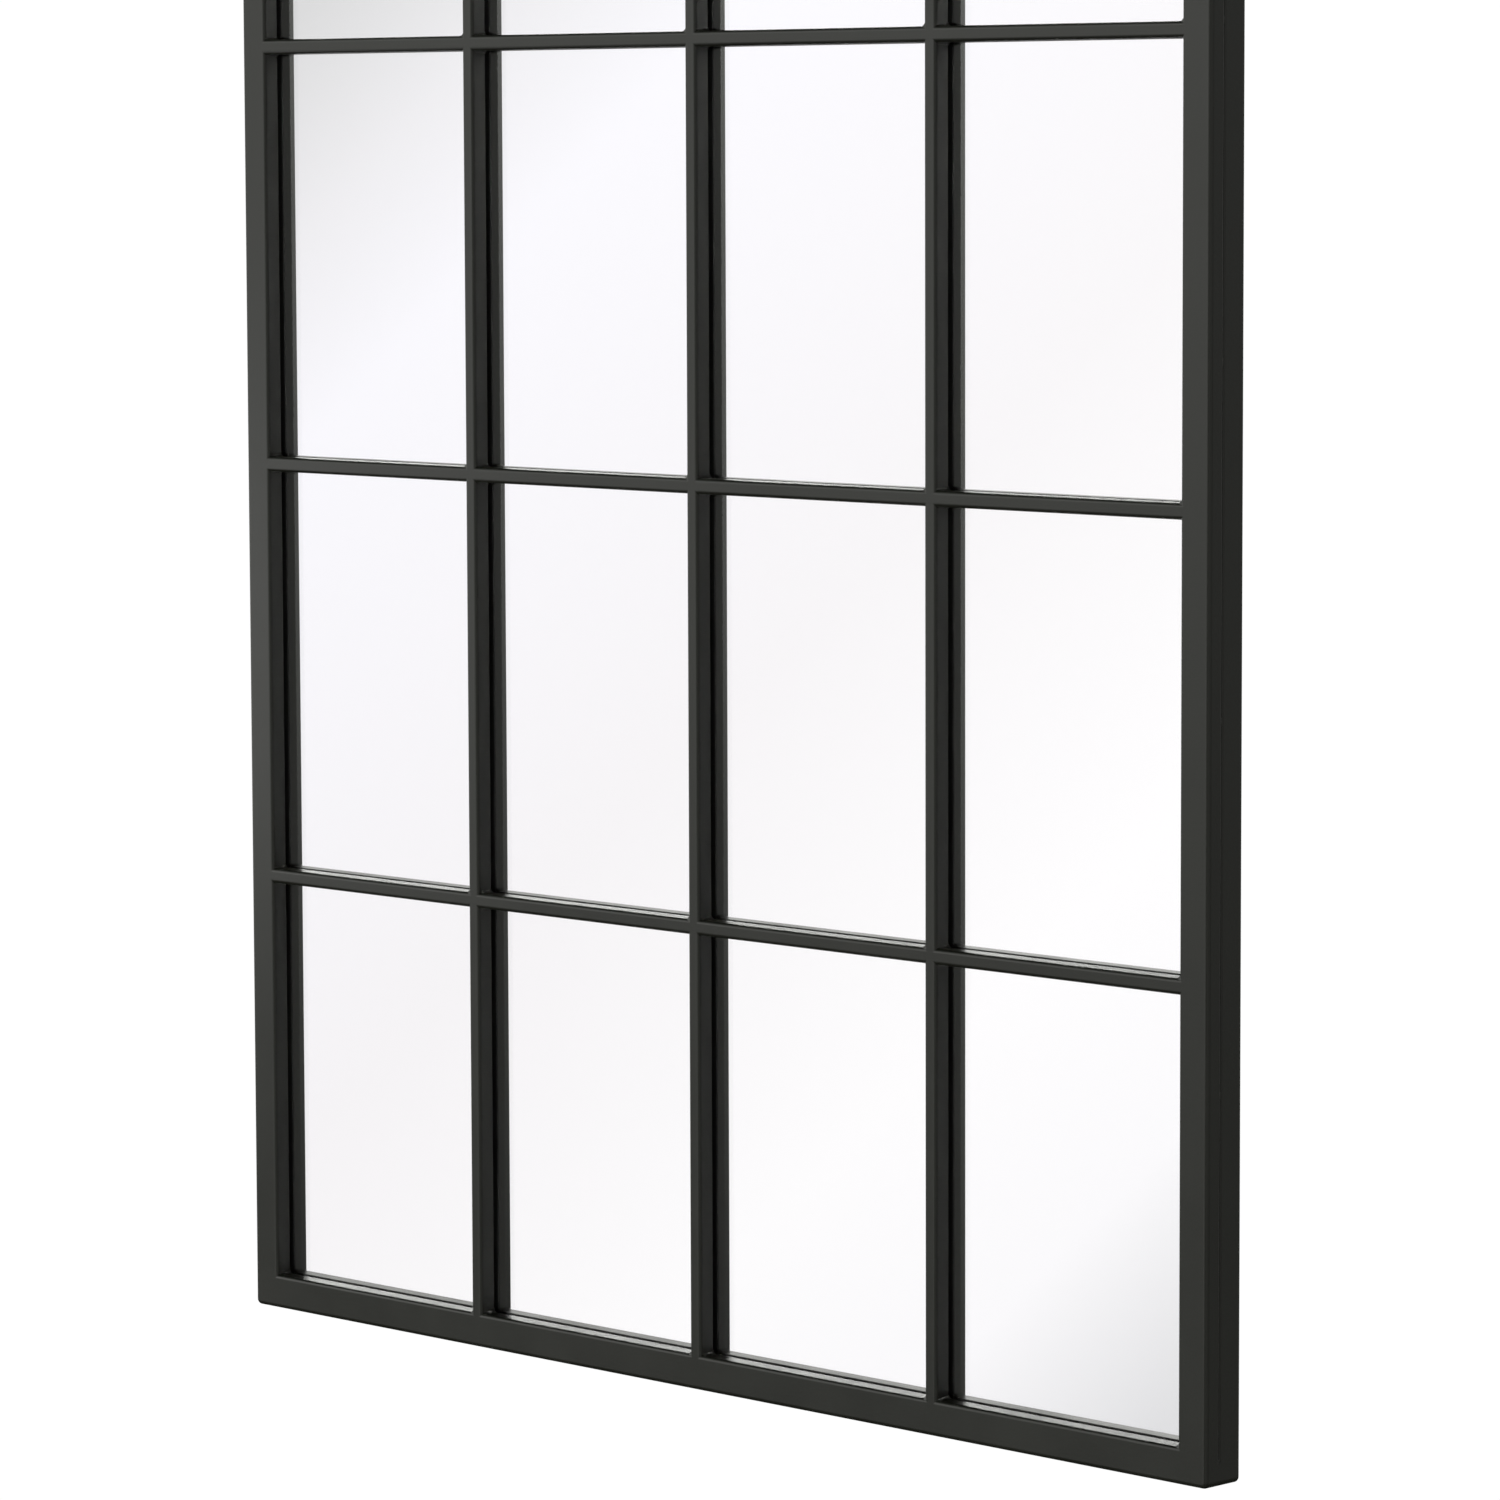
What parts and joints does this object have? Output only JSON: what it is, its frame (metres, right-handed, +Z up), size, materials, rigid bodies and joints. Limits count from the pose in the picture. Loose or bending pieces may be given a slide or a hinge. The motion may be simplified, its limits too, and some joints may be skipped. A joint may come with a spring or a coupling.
{
  "type": "windowpane mirror",
  "caption": "Tall wall mirror with a black steel surround and a welded grid of slim bars across one sheet of mirror glass, hung by keyholes in a strap at its back.",
  "frame": {"origin": "middle of the hanging strap's back face, in the wall plane", "axes": "+X to the right seen from the front, +Y from the front into the wall, +Z up"},
  "size_m": [0.914, 0.0327, 1.524],
  "materials": {
    "black_steel": "satin powder coat, charcoal black",
    "clear_glass": "polished float glass with ground edges",
    "silvering": "silvered, paint-backed",
    "fibreboard": "raw medium-density fibreboard"
  },
  "bodies": {
    "root": {"left_stile": "black_steel", "right_stile": "black_steel", "head_rail": "black_steel", "bottom_rail": "black_steel", "upright_bar_1": "black_steel", "upright_bar_2": "black_steel", "upright_bar_3": "black_steel", "cross_bar_1_1": "black_steel", "cross_bar_1_2": "black_steel", "cross_bar_1_3": "black_steel", "cross_bar_1_4": "black_steel", "cross_bar_2_1": "black_steel", "cross_bar_2_2": "black_steel", "cross_bar_2_3": "black_steel", "cross_bar_2_4": "black_steel", "cross_bar_3_1": "black_steel", "cross_bar_3_2": "black_steel", "cross_bar_3_3": "black_steel", "cross_bar_3_4": "black_steel", "cross_bar_4_1": "black_steel", "cross_bar_4_2": "black_steel", "cross_bar_4_3": "black_steel", "cross_bar_4_4": "black_steel", "back_stile_left": "black_steel", "back_stile_right": "black_steel", "back_rail_top": "black_steel", "back_rail_bottom": "black_steel", "mirror_glass": "clear_glass", "silver_coat": "silvering", "backing_board": "fibreboard", "hanging_strap": "black_steel", "board_tabs": "black_steel"}
  },
  "joints": []
}
